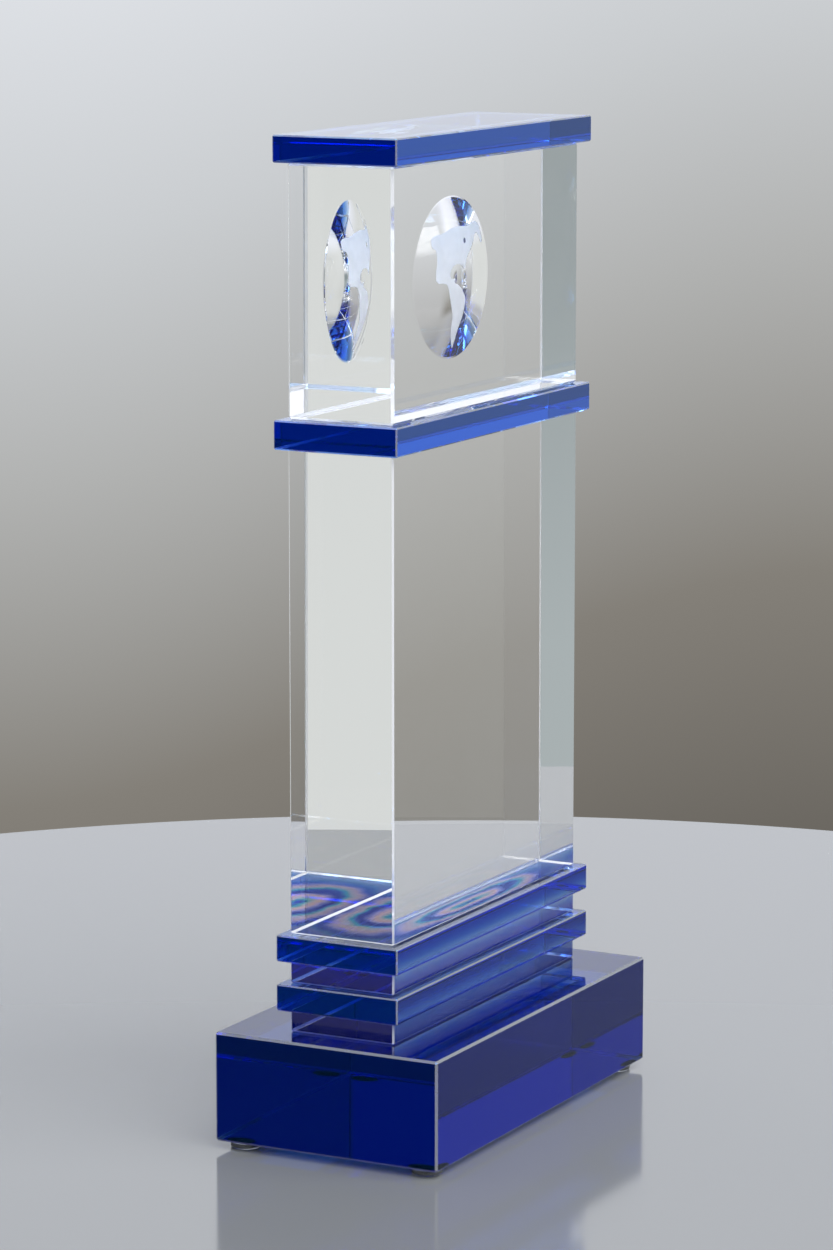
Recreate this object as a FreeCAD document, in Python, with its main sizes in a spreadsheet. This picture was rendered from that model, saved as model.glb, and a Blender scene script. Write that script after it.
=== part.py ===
"""Crystal award: a tall tower of clear and cobalt blue crystal blocks on a thick cobalt base.

Frame: millimetres, +Z up, origin on the table at the centre of the footprint.
X runs along the wide faces, Y through the thickness. The front is -Y, and the dish is ground
into the back (+Y) face of the head block.
"""
import FreeCAD, Part
import math
import os

from FreeCAD import Vector
from Sketcher import Constraint

# ---------------------------------------------------------------- driving dimensions (mm)
DIMENSIONS = [
    # three footprints share all the crystal pieces
    ("base_length", 170.0),
    ("base_depth", 88.0),
    ("plate_length", 152.5),
    ("plate_depth", 48.0),
    ("block_length", 144.5),
    ("block_depth", 41.0),
    # heights, from the table up
    ("foot_height", 3.0),
    ("base_height", 39.5),
    ("spacer_height", 8.0),
    ("plate_height", 9.5),
    ("tower_height", 171.0),
    ("collar_height", 10.2),
    ("head_height", 88.0),
    ("bond_height", 0.1),
    # bevels that break the polished edges
    ("base_bevel", 0.8),
    ("plate_bevel", 0.5),
    ("block_bevel", 0.6),
    ("head_bevel", 0.9),
    # bumper feet
    ("foot_diameter", 11.0),
    ("foot_inset", 8.0),
    ("foot_round", 0.9),
    # dish ground into the back of the head block
    ("dish_diameter", 57.0),
    ("dish_depth", 6.6),
    ("dish_bevel", 0.3),
]

SHEET = "Dimensions"

# Bottom to top: label, footprint, height cell, bevel cell.
STACK = [
    ("base_block", "base", "base_height", "base_bevel"),
    ("lower_spacer_block", "block", "spacer_height", "block_bevel"),
    ("lower_plinth_plate", "plate", "plate_height", "plate_bevel"),
    ("upper_spacer_block", "block", "spacer_height", "block_bevel"),
    ("upper_plinth_plate", "plate", "plate_height", "plate_bevel"),
    ("tower_block", "block", "tower_height", "block_bevel"),
    ("collar_plate", "plate", "collar_height", "plate_bevel"),
    ("head_block", "block", "head_height", "head_bevel"),
    ("cap_plate", "plate", "plate_height", "plate_bevel"),
]

# The adhesive film between each piece of the stack and the next one up.
BONDS = [
    "base_bond",
    "lower_spacer_bond",
    "lower_plinth_bond",
    "upper_spacer_bond",
    "tower_foot_bond",
    "collar_bond",
    "head_bond",
    "cap_bond",
]

# Foot name, and the side of the base that it is under in X and in Y.
FEET = [
    ("foot_front_left", -1, -1),
    ("foot_front_right", 1, -1),
    ("foot_back_left", -1, 1),
    ("foot_back_right", 1, 1),
]

SIZES = dict(DIMENSIONS)

document = FreeCAD.newDocument("crystal_award")


def cell(name):
    """Expression for one driving dimension."""
    return f"{SHEET}.{name}"


def make_sheet():
    """The spreadsheet that holds every driving dimension under its own alias."""
    sheet = document.addObject("Spreadsheet::Sheet", SHEET)
    for row, (name, value) in enumerate(DIMENSIONS, start=1):
        sheet.set(f"A{row}", name)
        sheet.set(f"B{row}", str(value))
        sheet.setAlias(f"B{row}", name)
    document.recompute()
    return sheet


def origin_plane(body, role):
    """One of the body's own origin planes."""
    return next(feature for feature in body.Origin.OriginFeatures if feature.Role == role)


def new_sketch(body, name, role):
    """An empty sketch on one of the body's origin planes."""
    sketch = body.newObject("Sketcher::SketchObject", name)
    sketch.AttachmentSupport = [(origin_plane(body, role), "")]
    sketch.MapMode = "FlatFace"
    return sketch


def constrain(sketch, kind, references, name, expression):
    """Add one driving constraint and bind it to an expression."""
    sketch.addConstraint(Constraint(kind, *references, 1.0))
    sketch.renameConstraint(sketch.ConstraintCount - 1, name)
    sketch.setExpression(f"Constraints.{name}", expression)


def centred_rectangle(sketch, length, depth):
    """A rectangle centred on the sketch's origin: length along X, depth along Y."""
    corners = [Vector(-1, -1, 0), Vector(1, -1, 0), Vector(1, 1, 0), Vector(-1, 1, 0)]
    for index in range(4):
        sketch.addGeometry(Part.LineSegment(corners[index], corners[(index + 1) % 4]))
    for index in range(4):
        joint = Constraint("Coincident", index, 2, (index + 1) % 4, 1)
        sketch.addConstraint(joint)
    for index, direction in enumerate(["Horizontal", "Vertical", "Horizontal", "Vertical"]):
        sketch.addConstraint(Constraint(direction, index))
    sketch.addConstraint(Constraint("Symmetric", 0, 1, 2, 1, -1, 1))
    constrain(sketch, "Distance", (0,), "length", length)
    constrain(sketch, "Distance", (1,), "depth", depth)


def new_body(label):
    """A body whose label names its file."""
    body = document.addObject("PartDesign::Body", label)
    body.Label = label
    return body


def block_body(label, length, depth, height):
    """A body with one rectangular pad standing on its own XY plane."""
    body = new_body(label)
    sketch = new_sketch(body, f"{label}_outline", "XY_Plane")
    centred_rectangle(sketch, length, depth)
    pad = body.newObject("PartDesign::Pad", f"{label}_pad")
    pad.Profile = sketch
    pad.setExpression("Length", height)
    document.recompute()
    return body


def bevel_all_edges(body, size):
    """Break every edge of the body's current solid."""
    base = body.Tip
    edges = [f"Edge{number}" for number in range(1, len(base.Shape.Edges) + 1)]
    chamfer = body.newObject("PartDesign::Chamfer", f"{body.Label}_bevel")
    chamfer.Base = (base, edges)
    chamfer.setExpression("Size", size)
    document.recompute()


def grind_dish(body):
    """A shallow spherical dish in the middle of the back face, with a bevelled rim.

    The tool is a ball whose centre lies outside the block. The sketch is half of its section,
    turned about the line through its centre that runs through the block's thickness.
    """
    radius = (
        f"(({cell('dish_diameter')} / 2) ^ 2 + {cell('dish_depth')} ^ 2)"
        f" / (2 * {cell('dish_depth')})"
    )
    before = body.Shape.Volume
    sketch = new_sketch(body, "dish_section", "YZ_Plane")
    sketch.setExpression(
        "AttachmentOffset.Base.x",
        f"{cell('block_depth')} / 2 - {cell('dish_depth')} + {radius}",
    )
    sketch.setExpression("AttachmentOffset.Base.y", f"{cell('head_height')} / 2")
    circle = Part.Circle(Vector(0, 0, 0), Vector(0, 0, 1), 1.0)
    sketch.addGeometry(Part.ArcOfCircle(circle, 0.0, math.pi))
    sketch.addGeometry(Part.LineSegment(Vector(-1, 0, 0), Vector(1, 0, 0)))
    sketch.addConstraint(Constraint("Coincident", 0, 3, -1, 1))
    sketch.addConstraint(Constraint("Coincident", 0, 1, 1, 2))
    sketch.addConstraint(Constraint("Coincident", 0, 2, 1, 1))
    sketch.addConstraint(Constraint("PointOnObject", 1, 2, -1))
    sketch.addConstraint(Constraint("PointOnObject", 1, 1, -1))
    constrain(sketch, "Radius", (0,), "ball_radius", radius)

    groove = body.newObject("PartDesign::Groove", "dish_groove")
    groove.Profile = sketch
    groove.ReferenceAxis = (sketch, ["H_Axis"])
    groove.Angle = 360.0
    document.recompute()

    depth = SIZES["dish_depth"]
    rim_radius = SIZES["dish_diameter"] / 2
    cap_volume = math.pi * depth * (3 * rim_radius**2 + depth**2) / 6
    removed = before - body.Shape.Volume
    if abs(removed - cap_volume) > 0.01 * cap_volume:
        raise RuntimeError(f"the dish removes {removed:.0f} mm3, not {cap_volume:.0f} mm3")

    rim = [
        f"Edge{number}"
        for number, edge in enumerate(groove.Shape.Edges, start=1)
        if edge.isClosed() and not edge.Degenerated
    ]
    bevel = body.newObject("PartDesign::Chamfer", "dish_rim_bevel")
    bevel.Base = (groove, rim)
    bevel.setExpression("Size", cell("dish_bevel"))
    document.recompute()


def foot_body(label, side_x, side_y):
    """A round bumper, flat on top, with its lower edge rounded over."""
    body = new_body(label)
    sketch = new_sketch(body, f"{label}_outline", "XY_Plane")
    sketch.addGeometry(Part.Circle(Vector(0, 0, 0), Vector(0, 0, 1), 1.0))
    sketch.addConstraint(Constraint("Coincident", 0, 3, -1, 1))
    constrain(sketch, "Diameter", (0,), "diameter", cell("foot_diameter"))
    pad = body.newObject("PartDesign::Pad", f"{label}_pad")
    pad.Profile = sketch
    pad.setExpression("Length", cell("foot_height"))
    document.recompute()
    lower = [
        f"Edge{number}"
        for number, edge in enumerate(pad.Shape.Edges, start=1)
        if edge.BoundBox.ZMax < SIZES["foot_round"]
    ]
    fillet = body.newObject("PartDesign::Fillet", f"{label}_round")
    fillet.Base = (pad, lower)
    fillet.setExpression("Radius", cell("foot_round"))
    for axis, side, span in (("x", side_x, "base_length"), ("y", side_y, "base_depth")):
        place = f"{side} * ({cell(span)} / 2 - {cell('foot_inset')})"
        body.setExpression(f"Placement.Base.{axis}", place)
    return body


def build_stack():
    """Nine crystal blocks and plates, one on another, with an adhesive film in each joint."""
    bodies = []
    level = cell("foot_height")
    for index, (label, footprint, height, bevel) in enumerate(STACK):
        body = block_body(
            label, cell(f"{footprint}_length"), cell(f"{footprint}_depth"), cell(height)
        )
        bevel_all_edges(body, cell(bevel))
        if label == "head_block":
            grind_dish(body)
        body.setExpression("Placement.Base.z", level)
        bodies.append(body)
        level += f" + {cell(height)}"
        if index < len(BONDS):
            bodies.append(bond_body(BONDS[index], level))
            level += f" + {cell('bond_height')}"
    return bodies


def bond_body(label, level):
    """The cured adhesive film of one joint: it fills the flat inside the bevels.

    Every joint has a clear block on one side of it, and the block has the smaller footprint.
    The film is the same size everywhere, so it keeps inside the widest bevel, the head's.
    """
    film = block_body(
        label,
        f"{cell('block_length')} - 2 * {cell('head_bevel')}",
        f"{cell('block_depth')} - 2 * {cell('head_bevel')}",
        cell("bond_height"),
    )
    film.setExpression("Placement.Base.z", level)
    return film


def check(bodies):
    """Stop if any object failed or any sub-part is not one sound solid."""
    document.recompute()
    for item in document.Objects:
        if "Invalid" in item.State or "Error" in item.State:
            raise RuntimeError(f"{item.Name} failed: {item.State}")
    for body in bodies:
        shape = body.Shape
        if shape.isNull() or not shape.isValid() or len(shape.Solids) != 1:
            raise RuntimeError(f"{body.Label} is not one valid solid")


def export(bodies):
    """One STEP file for each sub-part, named by its label."""
    os.makedirs("parts", exist_ok=True)
    for body in bodies:
        body.Shape.exportStep(f"parts/{body.Label}.step")
        box = body.Shape.BoundBox
        print(f"{body.Label:22s} z {box.ZMin:8.2f} to {box.ZMax:8.2f}  {body.Shape.Volume:12.1f} mm3")


make_sheet()
parts = build_stack()
parts += [foot_body(*foot) for foot in FEET]
check(parts)
export(parts)
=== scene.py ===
"""Crystal award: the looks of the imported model, in metres, in the CAD frame.

X is the width, -Y the front, +Z up. The dish with the etched map is in the back (+Y) face of
the head block, and is seen from the front and from the left end through the crystal.
"""
import math

import bmesh
import bpy
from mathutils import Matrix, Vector
from mathutils.geometry import tessellate_polygon


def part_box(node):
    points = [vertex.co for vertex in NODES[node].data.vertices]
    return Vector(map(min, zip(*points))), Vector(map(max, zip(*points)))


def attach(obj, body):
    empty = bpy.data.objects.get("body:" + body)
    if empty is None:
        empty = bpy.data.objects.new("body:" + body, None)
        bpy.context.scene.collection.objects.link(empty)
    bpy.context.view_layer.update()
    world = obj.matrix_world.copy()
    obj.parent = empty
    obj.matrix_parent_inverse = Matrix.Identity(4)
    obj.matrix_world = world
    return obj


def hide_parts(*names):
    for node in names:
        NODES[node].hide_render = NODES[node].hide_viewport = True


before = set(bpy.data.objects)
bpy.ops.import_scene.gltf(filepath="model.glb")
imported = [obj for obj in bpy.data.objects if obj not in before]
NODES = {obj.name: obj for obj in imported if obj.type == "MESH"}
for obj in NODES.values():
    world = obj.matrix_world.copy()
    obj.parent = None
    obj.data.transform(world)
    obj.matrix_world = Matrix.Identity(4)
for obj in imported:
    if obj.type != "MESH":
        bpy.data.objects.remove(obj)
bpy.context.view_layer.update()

MM = 0.001
SCENE = bpy.context.scene
WHITE = (1.0, 1.0, 1.0, 1.0)

# Each joint of the stack: the piece under the adhesive film, and the piece on it.
JOINTS = {
    "base_bond": ("base_block", "lower_spacer_block"),
    "lower_spacer_bond": ("lower_spacer_block", "lower_plinth_plate"),
    "lower_plinth_bond": ("lower_plinth_plate", "upper_spacer_block"),
    "upper_spacer_bond": ("upper_spacer_block", "upper_plinth_plate"),
    "tower_foot_bond": ("upper_plinth_plate", "tower_block"),
    "collar_bond": ("tower_block", "collar_plate"),
    "head_bond": ("collar_plate", "head_block"),
    "cap_bond": ("head_block", "cap_plate"),
}
CLEAR_BLOCKS = ("lower_spacer_block", "upper_spacer_block", "tower_block", "head_block")
PLINTH_PLATES = ("lower_plinth_plate", "upper_plinth_plate")
UPPER_PLATES = ("collar_plate", "cap_plate")
FEET = ("foot_front_left", "foot_front_right", "foot_back_left", "foot_back_right")

# Refractive indices. The adhesive's is a little lower than the crystal's, so a joint mirrors
# what meets it at a very flat angle and lets the rest through. The plinth's joints are clearer,
# no adhesive wets the dry joint, and the fringed joint is almost dry.
CRYSTAL_IOR = 1.52
ADHESIVE_IOR = 1.5025
PLINTH_ADHESIVE_IOR = 1.512
PLINTH_JOINTS = ("base_bond", "lower_spacer_bond", "lower_plinth_bond", "upper_spacer_bond")
DRY_JOINT = "collar_bond"
FRINGED_JOINT = "tower_foot_bond"
RUBBER_IOR = 1.49

# The film covers the flat of each joint.
FILM_HALF_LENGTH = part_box("tower_foot_bond")[1].x
FILM_HALF_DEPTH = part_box("tower_foot_bond")[1].y


# ------------------------------------------------------------------ camera
CAMERA_AZIMUTH = -62.5
CAMERA_ELEVATION = 9.73
CAMERA_DISTANCE = 1.643
CAMERA_AIM = Vector((-0.0034, 0.0064, 0.1783))
SENSOR_WIDTH_MM = 36.0
LENS_MM = 132.0
NEAREST_SEEN = 0.05
FURTHEST_SEEN = 50.0


def turn(azimuth, elevation):
    """Unit vector that points from the object to a place at those angles, in degrees."""
    side = math.radians(azimuth)
    rise = math.radians(elevation)
    return Vector(
        (
            math.sin(side) * math.cos(rise),
            -math.cos(side) * math.cos(rise),
            math.sin(rise),
        )
    )


def add_camera():
    """A long lens at the photograph's viewing angle."""
    data = bpy.data.cameras.new("camera")
    data.sensor_width = SENSOR_WIDTH_MM
    data.lens = LENS_MM
    data.clip_start = NEAREST_SEEN
    data.clip_end = FURTHEST_SEEN
    camera = bpy.data.objects.new("camera", data)
    back = turn(CAMERA_AZIMUTH, CAMERA_ELEVATION)
    camera.location = CAMERA_AIM + back * CAMERA_DISTANCE
    camera.rotation_euler = (-back).to_track_quat("-Z", "Y").to_euler()
    SCENE.collection.objects.link(camera)
    SCENE.camera = camera


add_camera()


# ------------------------------------------------------------------ shader nodes
class Shader:
    """A node tree with short ways to add and wire nodes."""

    def __init__(self, tree):
        self.tree = tree
        tree.nodes.clear()

    def add(self, kind, inputs=None, **settings):
        """A node of that kind; inputs maps sockets to values or to other nodes' outputs."""
        node = self.tree.nodes.new(kind)
        for name, value in settings.items():
            setattr(node, name, value)
        for key, value in (inputs or {}).items():
            if isinstance(value, bpy.types.NodeSocket):
                self.tree.links.new(value, node.inputs[key])
            else:
                node.inputs[key].default_value = value
        return node

    def place(self):
        """The shaded point, in the CAD frame."""
        return self.add("ShaderNodeTexCoord").outputs["Object"]

    def axes(self, vector):
        """The three parts of a vector."""
        return self.add("ShaderNodeSeparateXYZ", {0: vector}).outputs

    def noise(self, place, scale, detail=2.0):
        """Soft noise around a half; a larger scale makes it finer."""
        inputs = {"Vector": place, "Scale": scale, "Detail": detail}
        return self.add("ShaderNodeTexNoise", inputs).outputs[0]

    def bump(self, height, distance):
        """Normals of a surface raised by up to that distance."""
        return self.add("ShaderNodeBump", {"Height": height, "Distance": distance}).outputs[0]

    def math(self, operation, *values):
        """The output of a Math node."""
        inputs = dict(enumerate(values))
        return self.add("ShaderNodeMath", inputs, operation=operation).outputs[0]

    def product(self, first, *others):
        """All the values multiplied."""
        for other in others:
            first = self.math("MULTIPLY", first, other)
        return first

    def smooth(self, value, start, end):
        """0 at start, 1 at end and smooth between them."""
        inputs = {"Value": value, "From Min": start, "From Max": end}
        node = self.add("ShaderNodeMapRange", inputs, interpolation_type="SMOOTHSTEP")
        return node.outputs[0]

    def window(self, value, centre, half, soft):
        """1 within half of centre, fading to 0 over soft."""
        offset = self.math("ABSOLUTE", self.math("SUBTRACT", value, centre))
        return self.smooth(offset, half + soft, half)

    def blend(self, factor, first, second):
        """The mix of two colours."""
        inputs = {"Factor": factor, 6: first, 7: second}
        return self.add("ShaderNodeMix", inputs, data_type="RGBA").outputs[2]

    def mix(self, factor, first, second):
        """The mix of two shaders."""
        inputs = {0: factor, 1: first, 2: second}
        return self.add("ShaderNodeMixShader", inputs).outputs[0]

    def ramp(self, value, stops):
        """A colour ramp's outputs; stops are pairs of value and colour, in rising order."""
        first = stops[0][0]
        last = stops[-1][0]
        inputs = {"Value": value, "From Min": first, "From Max": last}
        share = self.add("ShaderNodeMapRange", inputs).outputs[0]
        node = self.add("ShaderNodeValToRGB", {"Fac": share})
        elements = node.color_ramp.elements
        while len(elements) < len(stops):
            elements.new(0.5)
        for element, (place, colour) in zip(elements, stops):
            element.position = (place - first) / (last - first)
            element.color = colour
        return node.outputs

    def show(self, surface):
        """Make that shader the material's surface."""
        return self.add("ShaderNodeOutputMaterial", {"Surface": surface})


def material(name):
    """A new node material and its shader tree."""
    new = bpy.data.materials.new(name)
    new.use_nodes = True
    return new, Shader(new.node_tree)


# ------------------------------------------------------------------ interference fringes
RING_NOISE_SCALE = 45.0

# One fringe of the tower's foot: the colour that the gap mirrors, and in the fourth number how
# much it lets through.
FRINGE = (
    (0.0, (0.35, 0.50, 1.0, 0.93)),
    (0.16, (0.30, 0.55, 1.0, 0.88)),
    (0.28, (0.10, 0.62, 0.60, 0.66)),
    (0.4, (0.68, 0.70, 0.68, 0.60)),
    (0.56, (0.92, 0.66, 0.58, 0.58)),
    (0.72, (0.74, 0.64, 0.88, 0.66)),
    (0.86, (0.50, 0.56, 1.0, 0.80)),
    (1.0, (0.35, 0.50, 1.0, 0.93)),
)
FRINGE_STRETCH = 2.7
FRINGE_SPACING = 10.5 * MM
FRINGE_WAVINESS = 1.1
FRINGE_PHASE = 0.35

# Away from the middle the fringes fade, most of the way, into an even blue. The start and the
# end are counts of rings.
FADE_START = 1.6
FADE_END = 3.4
FADE_SHARE = 0.8
FADED_COLOUR = (0.32, 0.52, 1.0, 1.0)
FADED_THROUGH = 0.9


def rings(shader, stretch, spacing, waviness):
    """A rising count of interference fringes around the middle of a joint."""
    place = shader.place()
    noise = shader.noise(place, RING_NOISE_SCALE)
    axes = shader.axes(place)
    along = shader.math("DIVIDE", axes[0], stretch)
    squares = (shader.product(along, along), shader.product(axes[1], axes[1]))
    distance = shader.math("SQRT", shader.math("ADD", *squares))
    count = shader.math("DIVIDE", distance, spacing)
    return shader.math("ADD", count, shader.product(noise, waviness))


def fringed_joint(shader):
    """An almost dry joint: a thin gap that mirrors coloured rings and lets the rest through."""
    count = rings(shader, FRINGE_STRETCH, FRINGE_SPACING, FRINGE_WAVINESS)
    phase = shader.math("FRACT", shader.math("ADD", count, FRINGE_PHASE))
    fringe_colour, fringe_through = shader.ramp(phase, FRINGE)
    faded = shader.product(shader.smooth(count, FADE_START, FADE_END), FADE_SHARE)
    colour = shader.blend(faded, fringe_colour, FADED_COLOUR)
    gain = shader.product(faded, shader.math("SUBTRACT", FADED_THROUGH, fringe_through))
    through = shader.math("ADD", fringe_through, gain)
    inputs = {"Color": colour, "IOR": CRYSTAL_IOR, "Roughness": 0.0}
    mirror = shader.add("ShaderNodeBsdfGlass", inputs)
    clear = shader.add("ShaderNodeBsdfTransparent")
    return shader.mix(through, mirror.outputs[0], clear.outputs[0])


# ------------------------------------------------------------------ crystal
# A normal's largest part is 1 on a flat face, 0.9 at the dish's rim, at most 0.71 on a bevel.
BEVEL_LIMIT = 0.8
CLEAR_BEVEL_HAZE = 0.38
COBALT_BEVEL_HAZE = 0.18
HAZE_COLOUR = (0.93, 0.95, 1.0, 1.0)
HAZE_ROUGHNESS = 0.45
HAZE_TRANSMISSION = 0.4
LEVEL_TOLERANCE = 0.02 * MM


def bevel_mask(shader):
    """1 on the bevels, whose normals lie along none of the axes."""
    normal = shader.add("ShaderNodeNewGeometry").outputs["True Normal"]
    sizes = shader.add("ShaderNodeVectorMath", {0: normal}, operation="ABSOLUTE").outputs[0]
    parts = shader.axes(sizes)
    widest = shader.math("MAXIMUM", parts[0], shader.math("MAXIMUM", parts[1], parts[2]))
    return shader.math("LESS_THAN", widest, BEVEL_LIMIT)


def contact_mask(shader, level):
    """1 on the flat at that height, as far as its adhesive film reaches."""
    axes = shader.axes(shader.place())
    inside_length = shader.math("LESS_THAN", shader.math("ABSOLUTE", axes[0]), FILM_HALF_LENGTH)
    inside_depth = shader.math("LESS_THAN", shader.math("ABSOLUTE", axes[1]), FILM_HALF_DEPTH)
    at_level = shader.math("COMPARE", axes[2], level, LEVEL_TOLERANCE)
    return shader.product(at_level, inside_length, inside_depth)


def wetted_joint(shader, joint):
    """A joint filled with adhesive; its index is the crystal's relative to the adhesive's."""
    ior = PLINTH_ADHESIVE_IOR if joint in PLINTH_JOINTS else ADHESIVE_IOR
    adhesive = shader.add("ShaderNodeBsdfGlass", {"IOR": CRYSTAL_IOR / ior, "Roughness": 0.0})
    return adhesive.outputs[0]


def polished_surface(shader, bevel_haze, tint):
    """Glass faces with hazy bevels; the tint colours the gloss."""
    glass = shader.add(
        "ShaderNodeBsdfPrincipled",
        {
            "Base Color": WHITE,
            "Roughness": 0.0,
            "IOR": CRYSTAL_IOR,
            "Transmission Weight": 1.0,
            "Specular Tint": tint,
        },
    )
    haze = shader.add(
        "ShaderNodeBsdfPrincipled",
        {
            "Base Color": HAZE_COLOUR,
            "Roughness": HAZE_ROUGHNESS,
            "IOR": CRYSTAL_IOR,
            "Transmission Weight": HAZE_TRANSMISSION,
        },
    )
    share = shader.product(bevel_mask(shader), bevel_haze)
    return shader.mix(share, glass.outputs[0], haze.outputs[0])


def crystal_material(name, bevel_haze, tint=WHITE):
    """Polished crystal with the piece's own joints; also its shader tree and output node."""
    new, shader = material(name + "_crystal")
    surface = polished_surface(shader, bevel_haze, tint)
    for joint, pieces in JOINTS.items():
        if name not in pieces or joint == DRY_JOINT:
            continue
        film_low, film_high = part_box(joint)
        level = film_low.z if name == pieces[0] else film_high.z
        filled = fringed_joint(shader) if joint == FRINGED_JOINT else wetted_joint(shader, joint)
        surface = shader.mix(contact_mask(shader, level), surface, filled)
    return new, shader, shader.show(surface)


def clear_crystal(name):
    """Colourless crystal for one piece."""
    return crystal_material(name, CLEAR_BEVEL_HAZE)[0]


def cobalt_crystal(name, colour, density, tint):
    """Blue crystal for one piece, coloured through its volume."""
    new, shader, output = crystal_material(name, COBALT_BEVEL_HAZE, tint)
    volume = shader.add("ShaderNodeVolumeAbsorption", {"Color": colour, "Density": density})
    shader.tree.links.new(volume.outputs[0], output.inputs["Volume"])
    return new


def dress(node, new):
    """Give a CAD node its material."""
    for slot in NODES[node].material_slots:
        slot.material = new


# Cobalt's volume takes the red first; a density is per metre. The tints colour the gloss.
COBALT = (0.0, 0.42, 0.865, 1.0)
PLINTH_COBALT = (0.0, 0.40, 0.886, 1.0)
BASE_COBALT = (0.0, 0.50, 0.87, 1.0)
COBALT_DENSITY = 70.0
PLINTH_DENSITY = 125.0
BASE_DENSITY = 100.0
COBALT_TINT = (0.0, 0.6, 1.0, 1.0)
BASE_TINT = (0.0, 0.3, 1.0, 1.0)

for block in CLEAR_BLOCKS:
    dress(block, clear_crystal(block))
for plate in UPPER_PLATES:
    dress(plate, cobalt_crystal(plate, COBALT, COBALT_DENSITY, COBALT_TINT))
for plate in PLINTH_PLATES:
    dress(plate, cobalt_crystal(plate, PLINTH_COBALT, PLINTH_DENSITY, COBALT_TINT))
dress("base_block", cobalt_crystal("base_block", BASE_COBALT, BASE_DENSITY, BASE_TINT))


# ------------------------------------------------------------------ bumper feet
RUBBER_GRAIN_SCALE = 1800.0
RUBBER_GRAIN_DETAIL = 3.0
RUBBER_GRAIN_HEIGHT = 0.02 * MM
RUBBER_CLOUD_SCALE = 260.0
RUBBER_DARK = (0.60, 0.63, 0.66, 1.0)
RUBBER_LIGHT = (0.74, 0.76, 0.78, 1.0)
RUBBER_ROUGHNESS = 0.16
RUBBER_TRANSMISSION = 0.95


def bumper_rubber():
    """Clear polyurethane: faintly milky, with a fine moulded skin."""
    new, shader = material("bumper_rubber")
    place = shader.place()
    grain = shader.noise(place, RUBBER_GRAIN_SCALE, RUBBER_GRAIN_DETAIL)
    cloud = shader.noise(place, RUBBER_CLOUD_SCALE)
    skin = shader.add(
        "ShaderNodeBsdfPrincipled",
        {
            "Base Color": shader.blend(cloud, RUBBER_DARK, RUBBER_LIGHT),
            "Roughness": RUBBER_ROUGHNESS,
            "IOR": RUBBER_IOR,
            "Transmission Weight": RUBBER_TRANSMISSION,
            "Normal": shader.bump(grain, RUBBER_GRAIN_HEIGHT),
        },
    )
    shader.show(skin.outputs[0])
    return new


rubber = bumper_rubber()
for foot in FEET:
    dress(foot, rubber)


# ------------------------------------------------------------------ pieces
def add_piece(name, bm, new, slot, *replaced):
    """Turn a bmesh into a piece that rides on the body."""
    bmesh.ops.recalc_face_normals(bm, faces=bm.faces)
    mesh = bpy.data.meshes.new(name)
    bm.to_mesh(mesh)
    bm.free()
    mesh.materials.append(new)
    piece = bpy.data.objects.new(name, mesh)
    SCENE.collection.objects.link(piece)
    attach(piece, "root")
    for node in replaced:
        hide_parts(node)
    return piece


# ------------------------------------------------------------------ adhesive films
FILM_CLEARANCE = 0.02 * MM
FILM_STRETCH = 2.6
FILM_WAVINESS = 1.6
# Each film's rings are a little wider apart than those of the film below it.
FILM_SPACING_MM = 4.0
FILM_PHASE_STEP = 0.7
FILM_COLOURS = (
    (0.0, (0.93, 0.97, 1.0, 1.0)),
    (0.35, (0.95, 1.0, 0.97, 1.0)),
    (0.7, (1.0, 0.95, 0.96, 1.0)),
    (1.0, (0.93, 0.97, 1.0, 1.0)),
)

# A film's edge wanders inwards: an even part, a slow wave and a fast one, as shares of its reach.
EDGE_POINTS = 96
EDGE_REACH = 0.35 * MM
EVEN_SHARE = 0.5
SLOW_SHARE = 0.3
SLOW_WAVES = 7
FAST_SHARE = 0.2
FAST_WAVES = 19


def film_material(joint, spacing):
    """A clear film with the faintest colours of a thin layer."""
    new, shader = material(joint + "_adhesive")
    phase = shader.math("FRACT", rings(shader, FILM_STRETCH, spacing, FILM_WAVINESS))
    colour = shader.ramp(phase, FILM_COLOURS)[0]
    shader.show(shader.add("ShaderNodeBsdfTransparent", {"Color": colour}).outputs[0])
    return new


def film_outline(half_length, half_depth, phase):
    """Points round a film whose edge wanders where the adhesive stopped."""
    points = []
    for index in range(EDGE_POINTS):
        angle = math.tau * index / EDGE_POINTS
        across = math.cos(angle)
        deep = math.sin(angle)
        stretch = max(abs(across), abs(deep))
        slow = SLOW_SHARE * math.sin(SLOW_WAVES * angle + phase)
        fast = FAST_SHARE * math.sin(FAST_WAVES * angle)
        wander = EDGE_REACH * (EVEN_SHARE + slow + fast)
        points.append(
            (
                across / stretch * (half_length - wander),
                deep / stretch * (half_depth - wander),
            )
        )
    return points


def add_film(joint, phase):
    """The film of one joint, clear of both faces."""
    film_low, film_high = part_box(joint)
    bottom = film_low.z + FILM_CLEARANCE
    top = film_high.z - FILM_CLEARANCE
    bm = bmesh.new()
    outline = film_outline(film_high.x, film_high.y, phase)
    lower = [bm.verts.new((x, y, bottom)) for x, y in outline]
    upper = [bm.verts.new((x, y, top)) for x, y in outline]
    bm.faces.new(reversed(lower))
    bm.faces.new(upper)
    for index in range(len(outline)):
        following = (index + 1) % len(outline)
        bm.faces.new((lower[index], lower[following], upper[following], upper[index]))
    adhesive = film_material(joint, (FILM_SPACING_MM + phase) * MM)
    add_piece(joint + "_film", bm, adhesive, "bond_film", joint)


for number, joint in enumerate(JOINTS):
    add_film(joint, FILM_PHASE_STEP * number)


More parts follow.
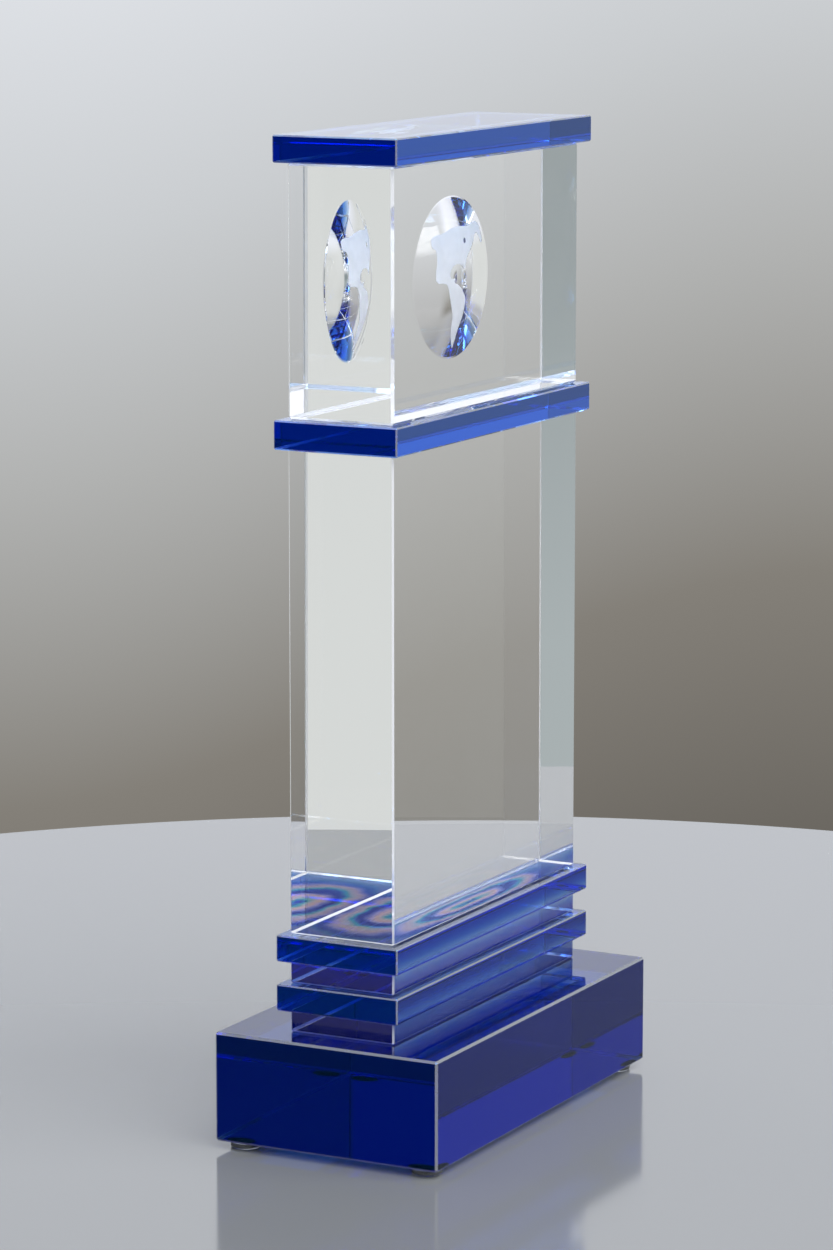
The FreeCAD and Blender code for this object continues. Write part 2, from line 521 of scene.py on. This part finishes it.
# ------------------------------------------------------------------ etched map
head_low, head_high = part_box("head_block")
DISH_RADIUS = 28.5 * MM
DISH_DEPTH = 6.6 * MM
BALL_RADIUS = (DISH_RADIUS**2 + DISH_DEPTH**2) / (2 * DISH_DEPTH)
BALL_CENTRE = Vector((0.0, head_high.y - DISH_DEPTH + BALL_RADIUS, (head_low.z + head_high.z) / 2))

# The two Americas round their coast, in dish radii across (x) and up (z) from its middle.
COAST = (
    (-0.60, 0.50),
    (-0.54, 0.55),
    (-0.30, 0.56),
    (-0.12, 0.61),
    (0.10, 0.63),
    (0.38, 0.61),
    (0.50, 0.65),
    (0.66, 0.66),
    (0.77, 0.56),
    (0.83, 0.40),
    (0.77, 0.36),
    (0.69, 0.48),
    (0.59, 0.52),
    (0.50, 0.39),
    (0.38, 0.29),
    (0.27, 0.20),
    (0.22, 0.06),
    (0.14, 0.15),
    (-0.02, 0.17),
    (-0.13, 0.12),
    (-0.18, 0.05),
    (-0.13, -0.02),
    (-0.03, 0.0),
    (-0.07, -0.06),
    (0.04, -0.09),
    (0.17, -0.17),
    (0.27, -0.30),
    (0.23, -0.44),
    (0.15, -0.57),
    (0.07, -0.70),
    (0.01, -0.88),
    (-0.03, -0.87),
    (-0.08, -0.72),
    (-0.09, -0.58),
    (-0.07, -0.48),
    (-0.12, -0.36),
    (-0.18, -0.22),
    (-0.21, -0.12),
    (-0.28, -0.05),
    (-0.51, -0.04),
    (-0.51, 0.10),
    (-0.48, 0.24),
    (-0.49, 0.38),
    (-0.59, 0.40),
)
# Where each side is cut to round the corners at its ends.
CORNER_CUTS = (0.25, 0.75)

# The bay in the north is a round hole in the map.
BAY_CENTRE = (0.25, 0.44)
BAY_RADIUS = 0.035
BAY_POINTS = 12

# Lines of the grid that cuts the map, on each side of the dish's middle.
GRID_LINES = 24
ETCH_GAP = 0.05 * MM
ETCH_DEPTH = 0.03 * MM
ETCH_GRAIN_SCALE = 2600.0
ETCH_GRAIN_HEIGHT = 0.01 * MM
ETCH_CLOUD_SCALE = 120.0
ETCH_DARK = (0.93, 0.94, 0.965, 1.0)
ETCH_LIGHT = (0.98, 0.98, 0.995, 1.0)
# The share that is translucent, and the share left clear, which grows where the cloud is strong.
ETCH_TRANSLUCENCE = 0.45
ETCH_CLEAR_LEAST = 0.06
ETCH_CLEAR_GAIN = 0.12
ETCH_CLEAR_START = 0.35
ETCH_CLEAR_END = 0.75


def etched_glass():
    """Sandblasted crystal: soft white, with a fine grain that varies in strength."""
    new, shader = material("etched_map")
    place = shader.place()
    grain = shader.noise(place, ETCH_GRAIN_SCALE)
    cloud = shader.noise(place, ETCH_CLOUD_SCALE)
    colour = shader.blend(shader.product(grain, cloud), ETCH_DARK, ETCH_LIGHT)
    bump = shader.bump(grain, ETCH_GRAIN_HEIGHT)
    front = shader.add("ShaderNodeBsdfDiffuse", {"Color": colour, "Normal": bump})
    through = shader.add("ShaderNodeBsdfTranslucent", {"Color": colour})
    clear = shader.add("ShaderNodeBsdfTransparent")
    milky = shader.mix(ETCH_TRANSLUCENCE, front.outputs[0], through.outputs[0])
    holes = shader.smooth(cloud, ETCH_CLEAR_START, ETCH_CLEAR_END)
    share = shader.math("MULTIPLY_ADD", holes, ETCH_CLEAR_GAIN, ETCH_CLEAR_LEAST)
    shader.show(shader.mix(share, milky, clear.outputs[0]))
    return new


def rounded(points):
    """The outline with each corner cut, a quarter of the way along both of its sides."""
    cut = []
    for index, point in enumerate(points):
        following = points[(index + 1) % len(points)]
        for share in CORNER_CUTS:
            cut.append(tuple(a + (b - a) * share for a, b in zip(point, following)))
    return cut


def bay_outline():
    """Points round the bay, in dish radii."""
    points = []
    for index in range(BAY_POINTS):
        angle = math.tau * index / BAY_POINTS
        across = BAY_CENTRE[0] + BAY_RADIUS * math.cos(angle)
        up = BAY_CENTRE[1] + BAY_RADIUS * math.sin(angle)
        points.append((across, up))
    return points


def flat_map():
    """The map as an upright flat mesh round the origin, cut by a grid."""
    bm = bmesh.new()
    coast = [Vector((x, 0.0, z)) * DISH_RADIUS for x, z in rounded(COAST)]
    bay = [Vector((x, 0.0, z)) * DISH_RADIUS for x, z in bay_outline()]
    corners = [bm.verts.new(point) for point in coast + bay]
    for triangle in tessellate_polygon([coast, bay]):
        bm.faces.new([corners[index] for index in triangle])
    step = DISH_RADIUS / GRID_LINES
    for axis in (Vector((1.0, 0.0, 0.0)), Vector((0.0, 0.0, 1.0))):
        for line in range(-GRID_LINES, GRID_LINES + 1):
            everything = bm.verts[:] + bm.edges[:] + bm.faces[:]
            bmesh.ops.bisect_plane(bm, geom=everything, plane_co=axis * line * step, plane_no=axis)
    bmesh.ops.triangulate(bm, faces=bm.faces)
    return bm


def add_map():
    """The map laid on the dish, just inside the crystal."""
    bm = flat_map()
    for vert in bm.verts:
        reach = vert.co.x**2 + vert.co.z**2
        sheet = BALL_CENTRE.y - math.sqrt((BALL_RADIUS + ETCH_GAP) ** 2 - reach)
        vert.co = Vector((vert.co.x, sheet, BALL_CENTRE.z + vert.co.z))
    piece = add_piece("etched_map", bm, etched_glass(), "clear_crystal")
    for face in piece.data.polygons:
        face.use_smooth = True
    thickness = piece.modifiers.new("thickness", "SOLIDIFY")
    thickness.thickness = ETCH_DEPTH
    thickness.offset = 0.0


add_map()


# ------------------------------------------------------------------ floor
FLOOR_RADIUS = 0.507
FLOOR_SEGMENTS = 256
FLOOR_COLOUR = (0.118, 0.121, 0.123, 1.0)
FLOOR_ROUGHNESS = 0.1


def add_floor():
    """A round floor with a satin polish. Its grey looks pale under the key light."""
    new, shader = material("floor")
    inputs = {"Base Color": FLOOR_COLOUR, "Roughness": FLOOR_ROUGHNESS}
    shader.show(shader.add("ShaderNodeBsdfPrincipled", inputs).outputs[0])
    bm = bmesh.new()
    bmesh.ops.create_circle(bm, cap_ends=True, radius=FLOOR_RADIUS, segments=FLOOR_SEGMENTS)
    mesh = bpy.data.meshes.new("floor")
    bm.to_mesh(mesh)
    bm.free()
    mesh.materials.append(new)
    floor = bpy.data.objects.new("floor", mesh)
    SCENE.collection.objects.link(floor)


# ------------------------------------------------------------------ light
# All the light comes from the world. Angles are in degrees, as seen from the object.
SKY = (1.06, 1.09, 1.17, 1.0)

# The backdrop lies behind the object. Its shades go by elevation and lie higher on the right.
VIEW_AZIMUTH = 180.0 + CAMERA_AZIMUTH
BACKDROP_HALF = 5.5
BACKDROP_SOFT = 6.0
BACKDROP_LIFT = 3.0
BACKDROP = (
    (-16.0, (0.13, 0.12, 0.105, 1.0)),
    (-12.0, (0.23, 0.215, 0.19, 1.0)),
    (-8.0, (0.44, 0.445, 0.44, 1.0)),
    (-5.0, (0.59, 0.61, 0.63, 1.0)),
    (6.0, SKY),
)

# Below the floor's far edge the backdrop turns to an even grey.
LOW = (0.42, 0.42, 0.42, 1.0)
LOW_START = -12.5
LOW_END = -15.0

# The walls go all round beside the backdrop, by elevation.
WALLS = (
    (-32.0, (0.55, 0.56, 0.58, 1.0)),
    (-20.0, (0.30, 0.30, 0.305, 1.0)),
    (-13.0, (0.44, 0.44, 0.44, 1.0)),
    (4.0, (0.64, 0.66, 0.68, 1.0)),
    (14.0, (0.85, 0.88, 0.94, 1.0)),
)

# The card is where the wide faces mirror the camera's view to.
CARD_AZIMUTH = 180.0 - VIEW_AZIMUTH
CARD_HALF = 22.0
CARD_SOFT = 10.0
CARD_BOTTOM = (-28.0, -22.0)
CARD_TOP = (20.0, 10.0)
CARD = (0.695, 0.715, 0.70, 1.0)

# The shade is where the narrow faces mirror it to.
SHADE_AZIMUTH = -VIEW_AZIMUTH
SHADE_HALF = 30.0
SHADE_SOFT = 10.0
SHADE_TOP = (4.0, -1.0)
SHADE = (
    (-10.0, (0.335, 0.39, 0.40, 1.0)),
    (-5.0, (0.24, 0.285, 0.295, 1.0)),
)

# The key light is high in front.
KEY_AZIMUTH = -20.0
KEY_HALF = 45.0
KEY_SOFT = 12.0
KEY_ELEVATION = 46.0
KEY_HALF_RISE = 20.0
KEY_SOFT_RISE = 10.0
KEY = (8.2, 8.35, 8.55, 1.0)

LIGHT_BOUNCES = 32
GLOSSY_BOUNCES = 24


def directions(shader):
    """Azimuth and elevation of a direction in the world, in degrees."""
    axes = shader.axes(shader.add("ShaderNodeTexCoord").outputs["Generated"])
    forward = shader.product(axes[1], -1.0)
    azimuth = shader.math("DEGREES", shader.math("ARCTAN2", axes[0], forward))
    elevation = shader.math("DEGREES", shader.math("ARCSINE", axes[2]))
    return azimuth, elevation


def walls_and_backdrop(shader, azimuth, elevation):
    """The plain walls, and the graded backdrop in the camera's view."""
    left = VIEW_AZIMUTH + BACKDROP_HALF
    right = VIEW_AZIMUTH - BACKDROP_HALF
    lift = shader.product(shader.smooth(azimuth, left, right), BACKDROP_LIFT)
    backdrop = shader.ramp(shader.math("SUBTRACT", elevation, lift), BACKDROP)[0]
    low = shader.smooth(elevation, LOW_START, LOW_END)
    backdrop = shader.blend(low, backdrop, LOW)
    behind = shader.window(azimuth, VIEW_AZIMUTH, BACKDROP_HALF, BACKDROP_SOFT)
    return shader.blend(behind, shader.ramp(elevation, WALLS)[0], backdrop)


def add_studio():
    """Soft studio surroundings: walls and a backdrop, with a card, a shade and a key light."""
    studio = bpy.data.worlds.new("studio")
    SCENE.world = studio
    studio.use_nodes = True
    shader = Shader(studio.node_tree)
    azimuth, elevation = directions(shader)
    surroundings = walls_and_backdrop(shader, azimuth, elevation)
    card = shader.product(
        shader.window(azimuth, CARD_AZIMUTH, CARD_HALF, CARD_SOFT),
        shader.smooth(elevation, *CARD_BOTTOM),
        shader.smooth(elevation, *CARD_TOP),
    )
    surroundings = shader.blend(card, surroundings, CARD)
    shade = shader.product(
        shader.window(azimuth, SHADE_AZIMUTH, SHADE_HALF, SHADE_SOFT),
        shader.smooth(elevation, *SHADE_TOP),
    )
    surroundings = shader.blend(shade, surroundings, shader.ramp(elevation, SHADE)[0])
    key = shader.product(
        shader.window(azimuth, KEY_AZIMUTH, KEY_HALF, KEY_SOFT),
        shader.window(elevation, KEY_ELEVATION, KEY_HALF_RISE, KEY_SOFT_RISE),
    )
    surroundings = shader.blend(key, surroundings, KEY)
    background = shader.add("ShaderNodeBackground", {"Color": surroundings})
    shader.add("ShaderNodeOutputWorld", {"Surface": background.outputs[0]})


add_floor()
add_studio()

SCENE.view_settings.view_transform = "Standard"
SCENE.cycles.max_bounces = LIGHT_BOUNCES
SCENE.cycles.transmission_bounces = LIGHT_BOUNCES
SCENE.cycles.glossy_bounces = GLOSSY_BOUNCES
SCENE.cycles.transparent_max_bounces = LIGHT_BOUNCES
